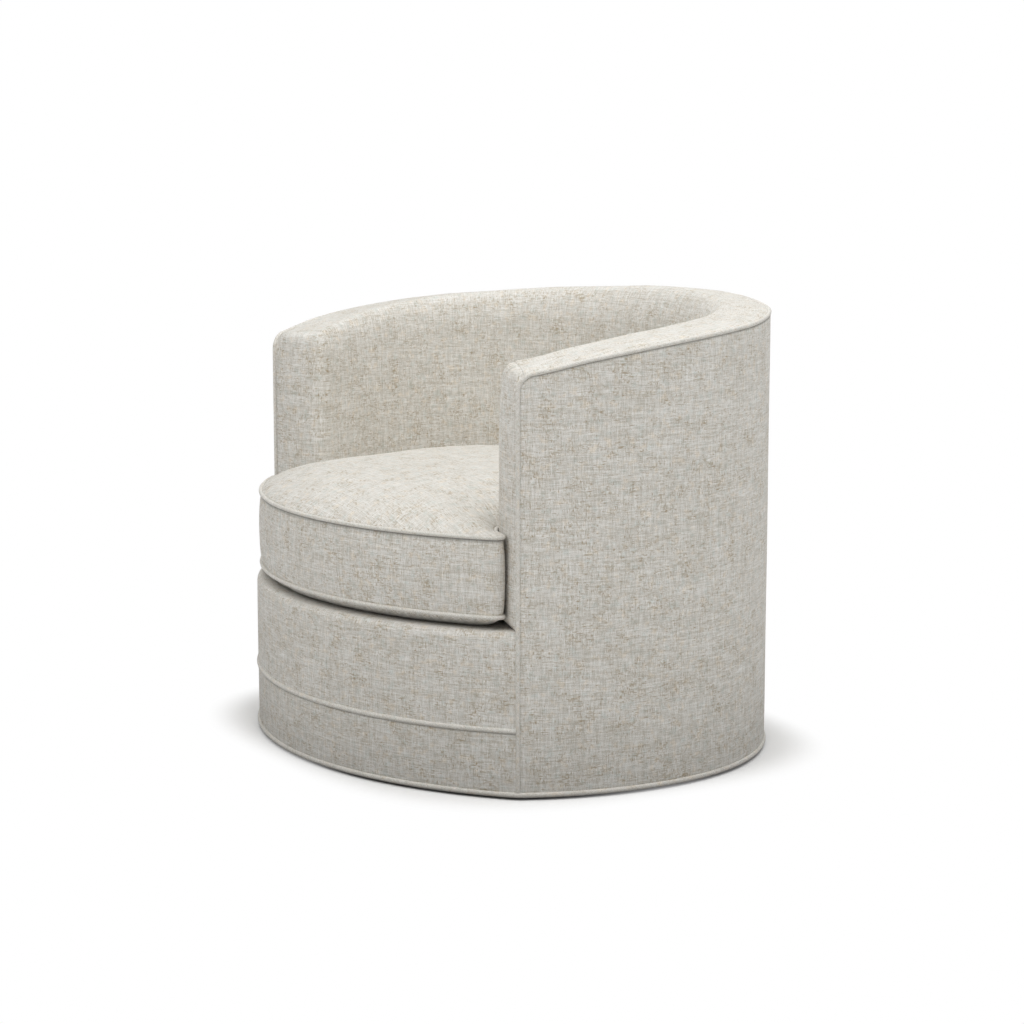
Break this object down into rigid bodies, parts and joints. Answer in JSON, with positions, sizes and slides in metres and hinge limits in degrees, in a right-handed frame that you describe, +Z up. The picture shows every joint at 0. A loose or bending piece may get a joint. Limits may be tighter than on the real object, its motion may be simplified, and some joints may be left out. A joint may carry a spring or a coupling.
{
  "type": "swivel barrel chair",
  "caption": "Upholstered tub armchair covered to the floor, with one wrap-round arm and back wall, a bowed front and a loose T cushion, on a hidden ball-bearing swivel base.",
  "frame": {"origin": "on the floor, at the foot of the axis that the seat turns about, which is the middle of the footprint", "axes": "+Z up; the front faces -Y and the back faces +Y; +X is the sitter's left, across the arms"},
  "size_m": [0.918, 0.7862, 0.7114],
  "materials": {
    "cloth": "heathered linen-look plain weave, warm greige with tan flecks, matte",
    "foam": "open-cell foam with fibre wrap, matte",
    "felt": "needled felt, matte",
    "hardwood": "sawn hardwood, unfinished",
    "plywood": "laminated plywood, unfinished",
    "zinc_steel": "zinc-plated pressed steel, satin",
    "spring_steel": "oil-tempered spring wire, dark satin",
    "nylon": "moulded nylon, dark matte",
    "cambric": "non-woven dust cloth, black matte"
  },
  "bodies": {
    "base": {"floor_glide_1": "nylon", "floor_glide_2": "nylon", "floor_glide_3": "nylon", "floor_glide_4": "nylon", "base_disc": "plywood", "lower_bearing_plate": "zinc_steel", "lower_plate_screw_1": "zinc_steel", "lower_plate_screw_2": "zinc_steel", "lower_plate_screw_3": "zinc_steel", "lower_plate_screw_4": "zinc_steel", "centre_rivet": "zinc_steel"},
    "cage": {"ball_cage": "nylon"},
    "seat": {"deck_cloth": "cloth", "outside_cover_left_arm": "cloth", "outside_cover_back": "cloth", "outside_cover_right_arm": "cloth", "inside_cover_left_arm": "cloth", "inside_cover_back": "cloth", "inside_cover_right_arm": "cloth", "arm_front_left": "cloth", "arm_front_right": "cloth", "front_rail_cover": "cloth", "front_band_cover": "cloth", "top_welt": "cloth", "rail_welt": "cloth", "bottom_welt": "cloth", "front_welt_left": "cloth", "front_welt_right": "cloth", "inside_pad_left_arm": "foam", "inside_pad_back": "foam", "inside_pad_right_arm": "foam", "front_rail_pad": "foam", "spring_pad": "felt", "swivel_cross_rail_left": "hardwood", "swivel_cross_rail_right": "hardwood", "front_post_left": "hardwood", "front_post_right": "hardwood", "back_post_left": "hardwood", "back_post_right": "hardwood", "bottom_rail_front": "plywood", "bottom_rail_left": "plywood", "bottom_rail_right": "plywood", "seat_rail_front": "plywood", "seat_rail_left": "plywood", "seat_rail_right": "plywood", "top_rail_left": "plywood", "top_rail_right": "plywood", "upper_bearing_plate": "zinc_steel", "sinuous_spring_1": "spring_steel", "sinuous_spring_2": "spring_steel", "sinuous_spring_3": "spring_steel", "sinuous_spring_4": "spring_steel", "sinuous_spring_5": "spring_steel", "dust_cover": "cambric"},
    "cushion": {"cushion_top_panel": "cloth", "cushion_bottom_panel": "cloth", "cushion_border": "cloth", "cushion_core": "foam", "cushion_top_welt": "cloth", "cushion_bottom_welt": "cloth"}
  },
  "joints": [
    {"name": "swivel", "type": "hinge", "parent": "base", "child": "seat", "pos_m": [0, 0, 0.026], "axis": [0, 0, 1], "continuous": true},
    {"name": "cage_roll", "type": "hinge", "parent": "base", "child": "cage", "pos_m": [0, 0, 0.026], "axis": [0, 0, 1], "continuous": true},
    {"name": "cushion_lift", "type": "slide", "parent": "seat", "child": "cushion", "axis": [0, 0, 1], "range_m": [0, 0.25]}
  ],
  "couplings": [
    {"joint": "cage_roll", "follows": "swivel", "ratio": 0.5}
  ]
}
